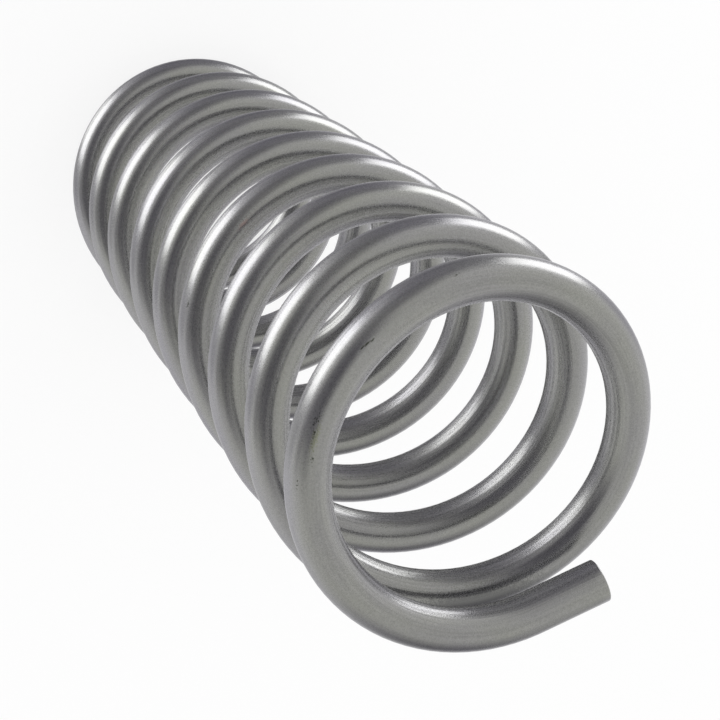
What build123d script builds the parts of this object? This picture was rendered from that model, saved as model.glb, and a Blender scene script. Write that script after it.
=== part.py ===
# A helical compression spring, coiled from one length of round steel wire.
# It stands on its lower end: the coil axis is +Z, the floor is z = 0 and the axis passes through the
# origin. The wire is wound right-handed and both ends are open. The lower end turn lies flat for just
# over half a turn, so that the spring stands on it, and the upper one for less. At both ends the last
# piece of wire leaves the coil as a short straight leg with a sheared end.
import os
from math import cos, pi, sin

from build123d import *

# Driving dimensions, in millimetres and in turns of the coil
wire_diameter = 12.0
mean_diameter = 96.0  # of the rising turns, wire centre to wire centre
free_length = 354.0  # from the floor to the top of the wire
total_turns = 9.23  # from tip to tip
upper_seat_turns = 0.42  # flat stretch at the upper end
upper_bend_turns = 0.14  # over which the wire bends from this flat to the full pitch
lower_seat_turns = 0.54  # flat stretch at the lower end
lower_bend_turns = 0.70  # over which the wire catches up with the steady pitch
seat_inset = 1.0  # how much nearer to the axis an end turn is wound
inset_fade_turns = 0.7  # over which an end turn opens out to the mean diameter
leg_length = 20.0  # straight wire beyond the last bend
edge_break = 0.6  # rounding of the sheared rims
bends_per_turn = 20  # arcs that follow one another round the coil

# The steady pitch is the one of a spring whose two ends are both flattened like the upper one
lost_turns = upper_seat_turns + upper_bend_turns / 2
pitch = (free_length - wire_diameter) / (total_turns - 2 * lost_turns)


def ease(share):
    """A smooth step from 0 to 1."""
    share = min(max(share, 0.0), 1.0)
    return share * share * (3 - 2 * share)


def climb(turns, bend_turns, bend_climb):
    """How far the wire has left its seat, in pitches, that many turns past the flat.

    It bends up over bend_turns, in which it climbs bend_climb pitches, and then rises steadily.
    """
    share = min(max(turns / bend_turns, 0.0), 1.0)
    bent = bend_climb * share**2 * (3 - 2 * share) - bend_turns * share**2 * (1 - share)
    return bent + max(turns - bend_turns, 0.0)


def wire_centre(turns):
    """The centre of the wire, that many turns from the lower tip."""
    if turns < total_turns / 2:
        past_flat = turns - lower_seat_turns
        bend_climb = lower_seat_turns + lower_bend_turns - lost_turns
        height = wire_diameter / 2 + pitch * climb(past_flat, lower_bend_turns, bend_climb)
    else:
        past_flat = total_turns - turns - upper_seat_turns
        drop = pitch * climb(past_flat, upper_bend_turns, upper_bend_turns / 2)
        height = free_length - wire_diameter / 2 - drop
    radius = mean_diameter / 2 - seat_inset * (1 - ease(past_flat / inset_fade_turns))
    return Vector(radius * cos(2 * pi * turns), radius * sin(2 * pi * turns), height)


# The wire is bent between its two straight legs, which run on from its ends along their tangents
leg_turns = leg_length / (pi * (mean_diameter - 2 * seat_inset))
first_bend = leg_turns
last_bend = total_turns - leg_turns
bends = round((last_bend - first_bend) * bends_per_turn)
bend_ends = [first_bend + (last_bend - first_bend) * (bend + 1) / bends for bend in range(bends)]
leg_direction = Vector(-sin(2 * pi * first_bend), cos(2 * pi * first_bend), 0)

with BuildPart() as helical_spring:
    with BuildLine():
        bend_start = wire_centre(first_bend)
        lower_leg = Line(bend_start - leg_direction * leg_length, bend_start)
        wire = lower_leg
        for turns in bend_ends:
            wire = TangentArc(wire @ 1, wire_centre(turns), tangent=wire % 1)
        Line(wire @ 1, wire @ 1 + (wire % 1) * leg_length)
    with BuildSketch(Plane(origin=lower_leg @ 0, z_dir=lower_leg % 0)):
        Circle(wire_diameter / 2)
    sweep()
    sheared_ends = helical_spring.faces().filter_by(GeomType.PLANE)
    fillet(sheared_ends.edges(), radius=edge_break)

helical_spring.part.label = "helical_spring"
os.makedirs("parts", exist_ok=True)
export_step(helical_spring.part, "parts/helical_spring.step")
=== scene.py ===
from math import cos, pi, radians, sin

import bmesh
import bpy
from mathutils import Matrix, Vector


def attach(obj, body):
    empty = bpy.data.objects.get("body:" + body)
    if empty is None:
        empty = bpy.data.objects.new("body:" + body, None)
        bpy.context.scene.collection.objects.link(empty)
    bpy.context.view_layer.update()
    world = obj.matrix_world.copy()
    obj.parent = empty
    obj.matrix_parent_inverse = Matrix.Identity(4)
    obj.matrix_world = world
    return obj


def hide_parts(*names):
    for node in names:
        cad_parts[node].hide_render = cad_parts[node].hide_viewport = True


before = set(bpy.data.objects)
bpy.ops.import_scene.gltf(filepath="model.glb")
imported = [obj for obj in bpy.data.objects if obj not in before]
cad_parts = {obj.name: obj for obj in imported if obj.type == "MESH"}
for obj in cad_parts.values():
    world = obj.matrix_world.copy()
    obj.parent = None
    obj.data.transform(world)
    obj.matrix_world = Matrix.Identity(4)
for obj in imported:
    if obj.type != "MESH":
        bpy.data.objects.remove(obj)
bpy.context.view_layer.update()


# The coiled wire: one length of drawn round spring steel, coiled cold around a mandrel. It stands on its
# lower end turn, which lies flat for just over half a turn. Both ends run out in a short straight leg.
WIRE_RADIUS = 0.006
COIL_RADIUS = 0.048
FREE_LENGTH = 0.354
TOTAL_TURNS = 9.23
UPPER_SEAT_TURNS = 0.42
UPPER_BEND_TURNS = 0.14
LOWER_SEAT_TURNS = 0.54
LOWER_BEND_TURNS = 0.70
SEAT_INSET = 0.001
INSET_FADE_TURNS = 0.7
LEG_LENGTH = 0.020
# it isn't wound quite evenly: at these turns from the lower tip it lies this much above an even rise
UNEVEN_RISE = {
    1.236: 0,
    1.725: -0.0009,
    2.236: 0.0016,
    2.725: -0.0001,
    3.236: -0.0027,
    3.725: 0.0020,
    4.236: 0.0020,
    4.725: 0.0015,
    4.980: 0,
    5.236: 0.0003,
    5.725: -0.0008,
    6.236: 0,
    6.725: -0.0016,
    7.236: -0.0005,
    7.480: -0.0003,
    7.725: 0.0009,
    8.236: 0,
}
# and at these turns it lies this much nearer to the axis
DRAWN_IN = {0: 0.0038, 0.15: 0.0038, 0.35: 0.0004, 1.0: 0.0004, 1.5: 0}
RINGS_PER_TURN = 96
RING_SIDES = 48
RING_AIM_TURNS = 0.002  # before and after a ring, to find which way the wire runs there

lost_turns = UPPER_SEAT_TURNS + UPPER_BEND_TURNS / 2
pitch = (FREE_LENGTH - 2 * WIRE_RADIUS) / (TOTAL_TURNS - 2 * lost_turns)
leg_turns = LEG_LENGTH / (2 * pi * (COIL_RADIUS - SEAT_INSET))


def ease(share):
    """A smooth step from 0 to 1."""
    share = min(max(share, 0), 1)
    return share * share * (3 - 2 * share)


def climb(turns, bend_turns, bend_climb):
    """How far the wire has left its seat, in pitches, that many turns past the flat."""
    share = min(max(turns / bend_turns, 0), 1)
    bent = bend_climb * share**2 * (3 - 2 * share) - bend_turns * share**2 * (1 - share)
    return bent + max(turns - bend_turns, 0)


def winding_error(errors, turns):
    """How far the wire strays at that turn, eased between the listed turns on either side of it."""
    listed_turns = list(errors)
    for start, end in zip(listed_turns, listed_turns[1:]):
        if start <= turns < end:
            share = ease((turns - start) / (end - start))
            return errors[start] * (1 - share) + errors[end] * share
    return 0


def bent_wire(turns):
    """The centre of the bent wire, that many turns from the lower tip."""
    if turns < TOTAL_TURNS / 2:
        past_flat = turns - LOWER_SEAT_TURNS
        bend_climb = LOWER_SEAT_TURNS + LOWER_BEND_TURNS - lost_turns
        height = WIRE_RADIUS + pitch * climb(past_flat, LOWER_BEND_TURNS, bend_climb)
    else:
        past_flat = TOTAL_TURNS - turns - UPPER_SEAT_TURNS
        drop = pitch * climb(past_flat, UPPER_BEND_TURNS, UPPER_BEND_TURNS / 2)
        height = FREE_LENGTH - WIRE_RADIUS - drop
    radius = COIL_RADIUS - SEAT_INSET * (1 - ease(past_flat / INSET_FADE_TURNS))
    height += winding_error(UNEVEN_RISE, turns)
    radius -= winding_error(DRAWN_IN, turns)
    return Vector((radius * cos(2 * pi * turns), radius * sin(2 * pi * turns), height))


def ring_place(turns):
    """Sets a flat ring square across the wire, with its X side facing away from the coil axis."""
    bend = min(max(turns, leg_turns), TOTAL_TURNS - leg_turns)
    along = (bent_wire(bend + RING_AIM_TURNS) - bent_wire(bend - RING_AIM_TURNS)).normalized()
    centre = bent_wire(bend) + along * (turns - bend) * LEG_LENGTH / leg_turns
    outward = Vector((cos(2 * pi * bend), sin(2 * pi * bend), 0))
    across = along.cross(outward).normalized()
    outward = across.cross(along)
    place = Matrix((outward, across, along)).transposed().to_4x4()
    place.translation = centre
    return place


wire_shape = bmesh.new()
straight = wire_shape.verts.layers.float_vector.new("straightened")
bmesh.ops.create_circle(wire_shape, segments=RING_SIDES, radius=WIRE_RADIUS)
for vert in wire_shape.verts:
    vert[straight] = vert.co
bmesh.ops.transform(wire_shape, matrix=ring_place(0), verts=wire_shape.verts)
first_rim = wire_shape.edges[:]
rim = first_rim
rings = round(TOTAL_TURNS * RINGS_PER_TURN)
for ring in range(1, rings + 1):
    turns = TOTAL_TURNS * ring / rings
    last_turns = TOTAL_TURNS * (ring - 1) / rings
    drawn = bmesh.ops.extrude_edge_only(wire_shape, edges=rim)["geom"]
    ring_verts = {part for part in drawn if isinstance(part, bmesh.types.BMVert)}
    new_edges = [part for part in drawn if isinstance(part, bmesh.types.BMEdge)]
    rim = [edge for edge in new_edges if ring_verts.issuperset(edge.verts)]
    move = ring_place(turns) @ ring_place(last_turns).inverted()
    bmesh.ops.transform(wire_shape, matrix=move, verts=list(ring_verts))
    for vert in ring_verts:
        vert[straight].z = turns * 2 * pi * COIL_RADIUS

# Both ends of the wire are sheared square and left as they are. The blade pulls the rim down a little as it
# goes through, so that it is rounded.
EDGE_BREAK = 0.0004
EDGE_BREAK_STEPS = 4
SHEARED_SLOT = 1  # the second of the wire's two materials

sheared_faces = [
    bmesh.ops.contextual_create(wire_shape, geom=edges)["faces"][0] for edges in (first_rim, rim)
]
for face in sheared_faces:
    face.material_index = SHEARED_SLOT
bmesh.ops.recalc_face_normals(wire_shape, faces=wire_shape.faces)
rims = [edge for face in sheared_faces for edge in face.edges]
bmesh.ops.bevel(
    wire_shape,
    geom=rims,
    offset=EDGE_BREAK,
    segments=EDGE_BREAK_STEPS,
    profile=0.5,
    affect="EDGES",
    material=-1,
)
# all but the two sheared faces are four-sided and round
for face in wire_shape.faces:
    face.smooth = len(face.verts) == 4

wire_mesh = bpy.data.meshes.new("coiled_wire")
wire_shape.to_mesh(wire_mesh)
wire_shape.free()
coiled_wire = bpy.data.objects.new("coiled_wire", wire_mesh)
bpy.context.scene.collection.objects.link(coiled_wire)

# The steel's own grain: a fine mottle, with dark pits that crowd together in places. It shows on the drawn
# skin, where pickling and phosphating bring it out, and more coarsely on the sheared ends.
GRAIN_DETAIL = 2.5
GRAIN_RAGGEDNESS = 0.65
PIT_FINENESS = 1500
PIT_DETAIL = 1
PIT_CROWD_FINENESS = 75
PIT_CROWDING = 0.45
PIT_START = 1.03
PIT_FULL = 1.13

steel_grain = bpy.data.node_groups.new("steel_grain", "ShaderNodeTree")
steel_grain.interface.new_socket("Place", in_out="INPUT", socket_type="NodeSocketVector")
steel_grain.interface.new_socket("Fineness", in_out="INPUT", socket_type="NodeSocketFloat")
steel_grain.interface.new_socket("Grain", in_out="OUTPUT", socket_type="NodeSocketFloat")
steel_grain.interface.new_socket("Pits", in_out="OUTPUT", socket_type="NodeSocketFloat")
nodes = steel_grain.nodes
links = steel_grain.links
given = nodes.new("NodeGroupInput")
result = nodes.new("NodeGroupOutput")
grain = nodes.new("ShaderNodeTexNoise")
grain.inputs["Detail"].default_value = GRAIN_DETAIL
grain.inputs["Roughness"].default_value = GRAIN_RAGGEDNESS
links.new(given.outputs["Place"], grain.inputs["Vector"])
links.new(given.outputs["Fineness"], grain.inputs["Scale"])
links.new(grain.outputs["Fac"], result.inputs["Grain"])
speck = nodes.new("ShaderNodeTexNoise")
speck.inputs["Scale"].default_value = PIT_FINENESS
speck.inputs["Detail"].default_value = PIT_DETAIL
links.new(given.outputs["Place"], speck.inputs["Vector"])
crowd = nodes.new("ShaderNodeTexNoise")
crowd.inputs["Scale"].default_value = PIT_CROWD_FINENESS
crowd.inputs["Detail"].default_value = PIT_DETAIL
links.new(given.outputs["Place"], crowd.inputs["Vector"])
crowded = nodes.new("ShaderNodeMath")
crowded.operation = "MULTIPLY_ADD"
crowded.inputs[1].default_value = PIT_CROWDING
links.new(crowd.outputs["Fac"], crowded.inputs[0])
links.new(speck.outputs["Fac"], crowded.inputs[2])
pits = nodes.new("ShaderNodeMapRange")
pits.interpolation_type = "SMOOTHSTEP"
pits.inputs["From Min"].default_value = PIT_START
pits.inputs["From Max"].default_value = PIT_FULL
links.new(crowded.outputs[0], pits.inputs["Value"])
links.new(pits.outputs["Result"], result.inputs["Pits"])

# The drawn skin: satin grey spring steel with an olive or bluish cast and fine lines along the wire from
# the drawing die. On it are short marks where the coiling tools touched it, two stains, and painted shade on
# the next turn's flank under the upper leg.
STEEL_OLIVE = (0.340, 0.342, 0.332, 1)
STEEL_BLUISH = (0.328, 0.326, 0.336, 1)
PIT_DARK = (0.25, 0.25, 0.24, 1)
MARK_DARK = (0.07, 0.075, 0.06, 1)
OLIVE_STAIN = (0.30, 0.31, 0.24, 1)
RUST_STAIN = (0.37, 0.29, 0.28, 1)
# the colour of the painted shade: the flank of the next turn under the upper leg, darkened where the leg
# shades it
LEG_SHADE_PAINT = (0.19, 0.19, 0.195, 1)
SKIN_FINENESS = 2600
DIE_LINE_FINENESS = 1500
DIE_LINE_DETAIL = 3
DIE_LINE_RAGGEDNESS = 0.6
BROAD_LINE_FINENESS = 420
BROAD_LINE_DETAIL = 1
LINE_STRETCH = (1, 1, 0.012)  # draws a pattern out along the wire
CAST_FINENESS = 150
CAST_DETAIL = 2
CAST_STRETCH = (1, 1, 0.25)
CAST_BLUISH = 0.35  # the level of its pattern at which the cast is all bluish
CAST_OLIVE = 0.65  # and at which it is all olive
OUTSIDE_LINES = 0.1  # how much of the lines shows on the outward side, against the inward side
LINE_SHADE = 0.15
GRAIN_DARK = 0.86
GRAIN_BRIGHT = 1.17
GRAIN_ROUGHNESS = (0.225, 0.285)
LINE_ROUGHNESS = (-0.02, 0.05)
GRAIN_HEIGHT = 0.16  # against that of the lines
SKIN_RELIEF = 0.00006
MARK_EDGE = 1.2  # of the mark's own half sizes
MARK_CORE = 0.5
# how far the grain eats into a mark or lets it grow, when that is broken up by 1
MARK_GROWN = -0.4
MARK_EATEN = 1.6
# each mark: turns along the wire, degrees round it from the outward side, half its length, half its width,
# how broken up it is and its colour
MARKS_STAINS_AND_PAINTED_SHADE = {
    # painted shade, not a stain: a darker patch on the next turn's flank where the upper leg shades it
    "painted shade under the leg": (8.1350, -78, 0.0215, 0.0042, 0.25, LEG_SHADE_PAINT),
    "stain round the rub": (8.8150, -74, 0.0060, 0.0012, 0.6, OLIVE_STAIN),
    "rub, upper part": (8.8010, -63, 0.0022, 0.0010, 1.5, MARK_DARK),
    "rub, middle": (8.8119, -71.5, 0.0032, 0.0005, 1.2, MARK_DARK),
    "rub, lower part": (8.8309, -79, 0.0020, 0.0005, 1.2, MARK_DARK),
    "nick, lower end": (8.7330, -68.5, 0.0009, 0.00020, 0.1, MARK_DARK),
    "nick, middle": (8.7283, -71, 0.0011, 0.00031, 0.2, MARK_DARK),
    "nick, upper end": (8.7236, -74, 0.0009, 0.00020, 0.2, MARK_DARK),
    "rub on the next turn": (8.1450, -124, 0.0120, 0.0016, 1.7, PIT_DARK),
    "scratch": (8.8536, -49, 0.0020, 0.0003, 1.4, MARK_DARK),
    "small dent": (8.6384, -50, 0.0012, 0.0005, 1.0, MARK_DARK),
    "dent on a middle turn": (5.8199, -37, 0.0016, 0.0005, 1.0, MARK_DARK),
    "rust stain": (5.7277, -78, 0.0030, 0.0009, 0.5, RUST_STAIN),
}

drawn_steel = bpy.data.materials.new("drawn_steel")
drawn_steel.use_nodes = True
nodes = drawn_steel.node_tree.nodes
links = drawn_steel.node_tree.links
steel = nodes["Principled BSDF"]
steel.inputs["Metallic"].default_value = 1

straightened = nodes.new("ShaderNodeAttribute")
straightened.attribute_name = "straightened"

drawn_out = nodes.new("ShaderNodeVectorMath")
drawn_out.operation = "MULTIPLY"
drawn_out.inputs[1].default_value = LINE_STRETCH
links.new(straightened.outputs["Vector"], drawn_out.inputs[0])
die_lines = nodes.new("ShaderNodeTexNoise")
die_lines.inputs["Scale"].default_value = DIE_LINE_FINENESS
die_lines.inputs["Detail"].default_value = DIE_LINE_DETAIL
die_lines.inputs["Roughness"].default_value = DIE_LINE_RAGGEDNESS
links.new(drawn_out.outputs[0], die_lines.inputs["Vector"])
broad_lines = nodes.new("ShaderNodeTexNoise")
broad_lines.inputs["Scale"].default_value = BROAD_LINE_FINENESS
broad_lines.inputs["Detail"].default_value = BROAD_LINE_DETAIL
links.new(drawn_out.outputs[0], broad_lines.inputs["Vector"])

drawn_cloud = nodes.new("ShaderNodeVectorMath")
drawn_cloud.operation = "MULTIPLY"
drawn_cloud.inputs[1].default_value = CAST_STRETCH
links.new(straightened.outputs["Vector"], drawn_cloud.inputs[0])
cast = nodes.new("ShaderNodeTexNoise")
cast.inputs["Scale"].default_value = CAST_FINENESS
cast.inputs["Detail"].default_value = CAST_DETAIL
links.new(drawn_cloud.outputs[0], cast.inputs["Vector"])
cast_share = nodes.new("ShaderNodeMapRange")
cast_share.inputs["From Min"].default_value = CAST_BLUISH
cast_share.inputs["From Max"].default_value = CAST_OLIVE
links.new(cast.outputs["Fac"], cast_share.inputs["Value"])

skin = nodes.new("ShaderNodeGroup")
skin.node_tree = steel_grain
skin.inputs["Fineness"].default_value = SKIN_FINENESS
links.new(straightened.outputs["Vector"], skin.inputs["Place"])


def stained(share, under, over):
    """One colour of the steel, with another over it by a share from 0 to 1."""
    mix = nodes.new("ShaderNodeMix")
    mix.data_type = "RGBA"
    links.new(share, mix.inputs["Factor"])
    for socket, colour in (("A", under), ("B", over)):
        if isinstance(colour, tuple):
            mix.inputs[socket].default_value = colour
        else:
            links.new(colour, mix.inputs[socket])
    return mix.outputs["Result"]


def grain_level(pattern, low, high):
    """A pattern of the steel as a level that runs from low to high."""
    usual_low, usual_high = 0.3, 0.7
    spread = nodes.new("ShaderNodeMapRange")
    spread.inputs["From Min"].default_value = usual_low
    spread.inputs["From Max"].default_value = usual_high
    spread.inputs["To Min"].default_value = low
    spread.inputs["To Max"].default_value = high
    links.new(pattern, spread.inputs["Value"])
    return spread.outputs["Result"]


def layered(first, second):
    """One level of the steel on top of another."""
    total = nodes.new("ShaderNodeMath")
    links.new(first, total.inputs[0])
    links.new(second, total.inputs[1])
    return total.outputs[0]


def weakened(level, strength):
    """A level of the steel, weakened by another level or by a plain number."""
    weaker = nodes.new("ShaderNodeMath")
    weaker.operation = "MULTIPLY"
    links.new(level, weaker.inputs[0])
    if isinstance(strength, (int, float)):
        weaker.inputs[1].default_value = strength
    else:
        links.new(strength, weaker.inputs[1])
    return weaker.outputs[0]


tinted = stained(cast_share.outputs["Result"], STEEL_BLUISH, STEEL_OLIVE)
inward = nodes.new("ShaderNodeSeparateXYZ")
links.new(straightened.outputs["Vector"], inward.inputs[0])
rubbed = nodes.new("ShaderNodeMapRange")
rubbed.interpolation_type = "SMOOTHSTEP"
rubbed.inputs["From Min"].default_value = WIRE_RADIUS
rubbed.inputs["From Max"].default_value = -WIRE_RADIUS
rubbed.inputs["To Min"].default_value = OUTSIDE_LINES
rubbed.inputs["To Max"].default_value = 1
links.new(inward.outputs["X"], rubbed.inputs["Value"])
line_shade = grain_level(die_lines.outputs["Fac"], -LINE_SHADE, LINE_SHADE)
line_tone = weakened(rubbed.outputs["Result"], line_shade)
grain_tone = grain_level(skin.outputs["Grain"], GRAIN_DARK, GRAIN_BRIGHT)
brightness = layered(grain_tone, line_tone)
shaded = nodes.new("ShaderNodeVectorMath")
shaded.operation = "SCALE"
links.new(tinted, shaded.inputs[0])
links.new(brightness, shaded.inputs["Scale"])
pitted = stained(skin.outputs["Pits"], shaded.outputs[0], PIT_DARK)
marked = pitted
# Each mark is a small oval round its own place on the straightened wire.
for turns, degrees, half_length, half_width, broken_up, colour in MARKS_STAINS_AND_PAINTED_SHADE.values():
    round_x = WIRE_RADIUS * cos(radians(degrees))
    round_y = WIRE_RADIUS * sin(radians(degrees))
    away = nodes.new("ShaderNodeVectorMath")
    away.operation = "SUBTRACT"
    away.inputs[1].default_value = (round_x, round_y, turns * 2 * pi * COIL_RADIUS)
    links.new(straightened.outputs["Vector"], away.inputs[0])
    oval = nodes.new("ShaderNodeVectorMath")
    oval.operation = "MULTIPLY"
    oval.inputs[1].default_value = (1 / half_width, 1 / half_width, 1 / half_length)
    links.new(away.outputs[0], oval.inputs[0])
    reach = nodes.new("ShaderNodeVectorMath")
    reach.operation = "LENGTH"
    links.new(oval.outputs[0], reach.inputs[0])
    mark = nodes.new("ShaderNodeMapRange")
    mark.interpolation_type = "SMOOTHSTEP"
    mark.inputs["From Min"].default_value = MARK_EDGE
    mark.inputs["From Max"].default_value = MARK_CORE
    breaks = grain_level(skin.outputs["Grain"], MARK_GROWN * broken_up, MARK_EATEN * broken_up)
    links.new(layered(reach.outputs["Value"], breaks), mark.inputs["Value"])
    marked = stained(mark.outputs["Result"], marked, colour)
links.new(marked, steel.inputs["Base Color"])

rough_grain = grain_level(skin.outputs["Grain"], *GRAIN_ROUGHNESS)
rough_lines = grain_level(die_lines.outputs["Fac"], *LINE_ROUGHNESS)
links.new(layered(rough_grain, rough_lines), steel.inputs["Roughness"])

lines_together = layered(die_lines.outputs["Fac"], broad_lines.outputs["Fac"])
line_height = weakened(rubbed.outputs["Result"], lines_together)
skin_height = layered(line_height, weakened(skin.outputs["Grain"], GRAIN_HEIGHT))
relief = nodes.new("ShaderNodeBump")
relief.inputs["Distance"].default_value = SKIN_RELIEF
links.new(skin_height, relief.inputs["Height"])
links.new(relief.outputs["Normal"], steel.inputs["Normal"])

# The sheared ends of the same steel: half of each face is wiped bright by the blade and half is torn,
# dull and darker, with a ragged edge between them.
SHEARED_BRIGHT = (0.36, 0.36, 0.35, 1)
SHEARED_TORN = (0.20, 0.20, 0.19, 1)
BLADE_LINE_FINENESS = 1800
BLADE_LINE_DETAIL = 2
BLADE_STROKE = (0.10, 1, 0.3)  # draws a pattern out the way the blade went
BLADE_ROUGHNESS = (0.30, 0.42)
BLADE_LINE_HEIGHT = 0.2  # against that of the torn half
TORN_FINENESS = 1500
TORN_EDGE = 0.0012
TORN_ROUGHER = 0.22
SHEARED_RELIEF = 0.0002

sheared_steel = bpy.data.materials.new("sheared_steel")
sheared_steel.use_nodes = True
nodes = sheared_steel.node_tree.nodes
links = sheared_steel.node_tree.links
steel = nodes["Principled BSDF"]
steel.inputs["Metallic"].default_value = 1
straightened = nodes.new("ShaderNodeAttribute")
straightened.attribute_name = "straightened"
wiped = nodes.new("ShaderNodeVectorMath")
wiped.operation = "MULTIPLY"
wiped.inputs[1].default_value = BLADE_STROKE
links.new(straightened.outputs["Vector"], wiped.inputs[0])
blade_lines = nodes.new("ShaderNodeTexNoise")
blade_lines.inputs["Scale"].default_value = BLADE_LINE_FINENESS
blade_lines.inputs["Detail"].default_value = BLADE_LINE_DETAIL
links.new(wiped.outputs[0], blade_lines.inputs["Vector"])
torn_grain = nodes.new("ShaderNodeGroup")
torn_grain.node_tree = steel_grain
torn_grain.inputs["Fineness"].default_value = TORN_FINENESS
links.new(straightened.outputs["Vector"], torn_grain.inputs["Place"])
side = nodes.new("ShaderNodeSeparateXYZ")
links.new(straightened.outputs["Vector"], side.inputs[0])
torn = nodes.new("ShaderNodeMapRange")
torn.interpolation_type = "SMOOTHSTEP"
torn.inputs["From Min"].default_value = -TORN_EDGE
torn.inputs["From Max"].default_value = TORN_EDGE
ragged_edge = grain_level(torn_grain.outputs["Grain"], -TORN_EDGE, TORN_EDGE)
links.new(layered(side.outputs["X"], ragged_edge), torn.inputs["Value"])
face_colour = stained(torn.outputs["Result"], SHEARED_BRIGHT, SHEARED_TORN)
face_speckled = stained(torn_grain.outputs["Pits"], face_colour, PIT_DARK)
links.new(face_speckled, steel.inputs["Base Color"])
torn_rough = weakened(torn.outputs["Result"], TORN_ROUGHER)
wiped_rough = grain_level(blade_lines.outputs["Fac"], *BLADE_ROUGHNESS)
links.new(layered(torn_rough, wiped_rough), steel.inputs["Roughness"])
torn_height = weakened(torn.outputs["Result"], torn_grain.outputs["Grain"])
face_relief = nodes.new("ShaderNodeBump")
face_relief.inputs["Distance"].default_value = SHEARED_RELIEF
wiped_height = weakened(blade_lines.outputs["Fac"], BLADE_LINE_HEIGHT)
links.new(layered(torn_height, wiped_height), face_relief.inputs["Height"])
links.new(face_relief.outputs["Normal"], steel.inputs["Normal"])

coiled_wire.data.materials.append(drawn_steel)
coiled_wire.data.materials.append(sheared_steel)
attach(coiled_wire, "root")
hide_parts("helical_spring")


# The camera looks along the spring onto its upper end, from a little to one side. It is a plain still camera
# with a short telephoto lens.
CAMERA_PLACE = Vector((-0.02927, -0.23214, 0.75335))
CAMERA_AHEAD = Vector((0.05978, 0.41800, -0.90648))
CAMERA_RIGHT = Vector((-0.60609, 0.73675, 0.29976))
CAMERA_LENS = 91.07
CAMERA_SENSOR = 36
CAMERA_NEAR = 0.01

camera_back = -CAMERA_AHEAD.normalized()
camera_up = camera_back.cross(CAMERA_RIGHT).normalized()
camera_right = camera_up.cross(camera_back)
camera = bpy.data.objects.new("camera", bpy.data.cameras.new("camera"))
camera.data.lens = CAMERA_LENS
camera.data.sensor_width = CAMERA_SENSOR
camera.data.clip_start = CAMERA_NEAR
camera.matrix_world = Matrix.Translation(CAMERA_PLACE) @ Matrix(
    (camera_right, camera_up, camera_back)
).transposed().to_4x4()
bpy.context.scene.collection.objects.link(camera)
bpy.context.scene.camera = camera


# The floor: a plain white table top under the standing spring. It takes the spring's soft shadow and glows
# enough to fade into the white surround.
FLOOR_SIZE = 3.0
FLOOR_GLOW = 0.75
FLOOR_WHITE = (0.95, 0.95, 0.95, 1)

floor_shape = bmesh.new()
bmesh.ops.create_grid(floor_shape, x_segments=1, y_segments=1, size=FLOOR_SIZE / 2)
floor_mesh = bpy.data.meshes.new("floor")
floor_shape.to_mesh(floor_mesh)
floor_shape.free()
floor = bpy.data.objects.new("floor", floor_mesh)
bpy.context.scene.collection.objects.link(floor)
floor.visible_glossy = False
floor.visible_shadow = False

white_table = bpy.data.materials.new("white_table")
white_table.use_nodes = True
nodes = white_table.node_tree.nodes
links = white_table.node_tree.links
nodes.remove(nodes["Principled BSDF"])
table_paint = nodes.new("ShaderNodeBsdfDiffuse")
table_paint.inputs["Color"].default_value = FLOOR_WHITE
table_glow = nodes.new("ShaderNodeEmission")
table_glow.inputs["Strength"].default_value = 1
table_rays = nodes.new("ShaderNodeLightPath")
table_share = nodes.new("ShaderNodeMath")
table_share.operation = "MULTIPLY"
table_share.inputs[1].default_value = FLOOR_GLOW
table_mix = nodes.new("ShaderNodeMixShader")
links.new(table_rays.outputs["Is Camera Ray"], table_share.inputs[0])
links.new(table_share.outputs[0], table_mix.inputs[0])
links.new(table_paint.outputs[0], table_mix.inputs[1])
links.new(table_glow.outputs[0], table_mix.inputs[2])
links.new(table_mix.outputs[0], nodes["Material Output"].inputs["Surface"])
floor.data.materials.append(white_table)


# The surround: white paper on all sides. The eye, the metal and any glass see it at full white, and it
# lights the table softly.
SURROUND_LIGHT = 1.0
SURROUND_WHITE = (1, 1, 1, 1)

world = bpy.data.worlds.new("surround")
bpy.context.scene.world = world
world.use_nodes = True
world.cycles.sampling_method = "NONE"
nodes = world.node_tree.nodes
links = world.node_tree.links
seen_white = nodes["Background"]
seen_white.inputs["Color"].default_value = SURROUND_WHITE
seen_white.inputs["Strength"].default_value = 1
soft_white = nodes.new("ShaderNodeBackground")
soft_white.inputs["Color"].default_value = SURROUND_WHITE
soft_white.inputs["Strength"].default_value = SURROUND_LIGHT
rays = nodes.new("ShaderNodeLightPath")
eye_or_metal = nodes.new("ShaderNodeMath")
eye_or_metal.operation = "MAXIMUM"
or_glass = nodes.new("ShaderNodeMath")
or_glass.operation = "MAXIMUM"
pick = nodes.new("ShaderNodeMixShader")
links.new(rays.outputs["Is Camera Ray"], eye_or_metal.inputs[0])
links.new(rays.outputs["Is Glossy Ray"], eye_or_metal.inputs[1])
links.new(eye_or_metal.outputs[0], or_glass.inputs[0])
links.new(rays.outputs["Is Transmission Ray"], or_glass.inputs[1])
links.new(or_glass.outputs[0], pick.inputs[0])
links.new(soft_white.outputs[0], pick.inputs[1])
links.new(seen_white.outputs[0], pick.inputs[2])
links.new(pick.outputs[0], nodes["World Output"].inputs["Surface"])


# The lamps: two large soft boxes left and right of the camera's line, and a small dim one low on the left.
# Each is an even white panel on a stand, turned to the middle of the spring.
LIT_POINT = Vector((0, 0, 0.175))
# each soft box: its azimuth and elevation in degrees, distance, width, height and brightness
SOFT_BOXES = {
    "left_soft_box": (-86, -16.6, 1.3, 0.85, 1.09, 2.56),
    "right_soft_box": (168.8, -9, 1.3, 0.74, 0.85, 2.65),
    "low_left_soft_box": (-84, -54.5, 1.3, 0.43, 0.42, 1.6),
}


def way_to(azimuth, elevation):
    """The direction from the spring to that side."""
    level = cos(radians(elevation))
    return Vector((level * cos(radians(azimuth)), level * sin(radians(azimuth)), sin(radians(elevation))))


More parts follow.
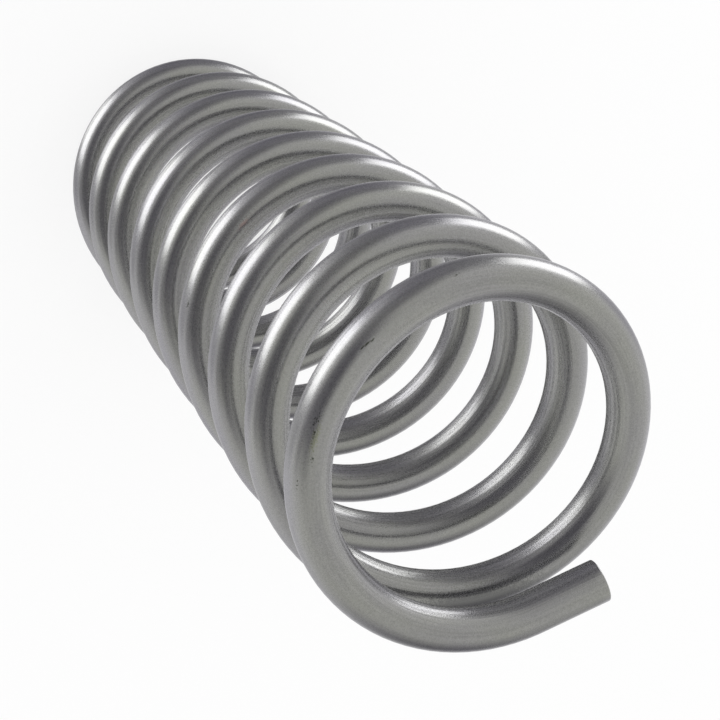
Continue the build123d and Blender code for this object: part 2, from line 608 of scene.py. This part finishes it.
for name, (azimuth, elevation, distance, width, height, brightness) in SOFT_BOXES.items():
    side = way_to(azimuth, elevation)
    lamp = bpy.data.lights.new(name, "AREA")
    lamp.shape = "RECTANGLE"
    lamp.size = width
    lamp.size_y = height
    lamp.energy = brightness * pi * width * height
    box = bpy.data.objects.new(name, lamp)
    facing = side.to_track_quat("Z", "Y").to_matrix().to_4x4()
    box.matrix_world = Matrix.Translation(LIT_POINT + side * distance) @ facing
    box.visible_camera = False
    bpy.context.scene.collection.objects.link(box)


# The dark parts of the studio, which the steel mirrors between and beside the soft boxes: a thin tinted
# shell around the table, of which only the reflection shows.
STUDIO_RADIUS = 3.0
STUDIO_SUBDIVISIONS = 4
# each patch: its azimuth and elevation, how far from its middle it starts to fade and has faded out, all in
# degrees, and its depth
DARK_PATCHES = {
    "over the left soft box": (-75, 55, 17, 38, 0.76),
    "between the soft boxes": (-126, 25, 14, 33, 0.63),
    "low between the soft boxes": (-152, -16, 20, 49, 0.66),
    "lowest between the soft boxes": (-152, -62, 16, 31, 0.56),
    "right of the left soft box": (-54, 21, 7, 25, 0.57),
    "behind the left soft box": (-74, -27, 30, 37, 0.38),
    "overhead": (160, 90, 22, 100, 0.25),
    "far side": (49, 3, 0, 46, 0.77),
    "over the far side": (56, 30, 0, 24, 0.20),
    "beside the far side": (19, 21, 6, 40, 0.11),
    "low on the far side": (24, -36, 6, 42, 0.19),
    "under the far side": (-34, -70, 6, 32, 0.36),
    "behind the right soft box": (146, -24, 7, 42, 0.39),
}
STUDIO_WARM = (1.0, 1.0, 0.94, 1)
STUDIO_COOL = (0.98, 0.97, 1.0, 1)
STUDIO_DEPTH = (0.006, 0, 0.035, 1)
STUDIO_COOL_HEIGHT = -0.3  # of the shell's radius
STUDIO_WARM_HEIGHT = 0.6

studio_shape = bmesh.new()
bmesh.ops.create_icosphere(studio_shape, subdivisions=STUDIO_SUBDIVISIONS, radius=STUDIO_RADIUS)
studio_mesh = bpy.data.meshes.new("dark_studio")
studio_shape.to_mesh(studio_mesh)
studio_shape.free()
dark_studio = bpy.data.objects.new("dark_studio", studio_mesh)
bpy.context.scene.collection.objects.link(dark_studio)
dark_studio.visible_camera = False
dark_studio.visible_diffuse = False
dark_studio.visible_shadow = False
dark_studio.visible_transmission = False

studio_dark = bpy.data.materials.new("studio_dark")
studio_dark.use_nodes = True
nodes = studio_dark.node_tree.nodes
links = studio_dark.node_tree.links
nodes.remove(nodes["Principled BSDF"])
place = nodes.new("ShaderNodeTexCoord")
ray_side = nodes.new("ShaderNodeVectorMath")
ray_side.operation = "NORMALIZE"
links.new(place.outputs["Object"], ray_side.inputs[0])
light_left = None
for azimuth, elevation, inner, outer, depth in DARK_PATCHES.values():
    lean = nodes.new("ShaderNodeVectorMath")
    lean.operation = "DOT_PRODUCT"
    lean.inputs[1].default_value = way_to(azimuth, elevation)
    links.new(ray_side.outputs[0], lean.inputs[0])
    angle = nodes.new("ShaderNodeMath")
    angle.operation = "ARCCOSINE"
    links.new(lean.outputs["Value"], angle.inputs[0])
    fade = nodes.new("ShaderNodeMapRange")
    fade.interpolation_type = "SMOOTHSTEP"
    fade.inputs["From Min"].default_value = radians(inner)
    fade.inputs["From Max"].default_value = radians(outer)
    fade.inputs["To Min"].default_value = 1 - depth
    fade.inputs["To Max"].default_value = 1
    links.new(angle.outputs[0], fade.inputs["Value"])
    if light_left is None:
        light_left = fade.outputs["Result"]
        continue
    dimmed = nodes.new("ShaderNodeMath")
    dimmed.operation = "MULTIPLY"
    links.new(light_left, dimmed.inputs[0])
    links.new(fade.outputs["Result"], dimmed.inputs[1])
    light_left = dimmed.outputs[0]
height = nodes.new("ShaderNodeSeparateXYZ")
links.new(ray_side.outputs[0], height.inputs[0])
warmth = nodes.new("ShaderNodeMapRange")
warmth.inputs["From Min"].default_value = STUDIO_COOL_HEIGHT
warmth.inputs["From Max"].default_value = STUDIO_WARM_HEIGHT
links.new(height.outputs["Z"], warmth.inputs["Value"])
studio_cast = nodes.new("ShaderNodeMix")
studio_cast.data_type = "RGBA"
studio_cast.inputs["A"].default_value = STUDIO_COOL
studio_cast.inputs["B"].default_value = STUDIO_WARM
links.new(warmth.outputs["Result"], studio_cast.inputs["Factor"])
tone = nodes.new("ShaderNodeMix")
tone.data_type = "RGBA"
tone.inputs["A"].default_value = STUDIO_DEPTH
links.new(studio_cast.outputs["Result"], tone.inputs["B"])
links.new(light_left, tone.inputs["Factor"])
veil = nodes.new("ShaderNodeBsdfTransparent")
links.new(tone.outputs["Result"], veil.inputs["Color"])
links.new(veil.outputs[0], nodes["Material Output"].inputs["Surface"])
dark_studio.data.materials.append(studio_dark)

bpy.context.scene.view_settings.view_transform = "Standard"
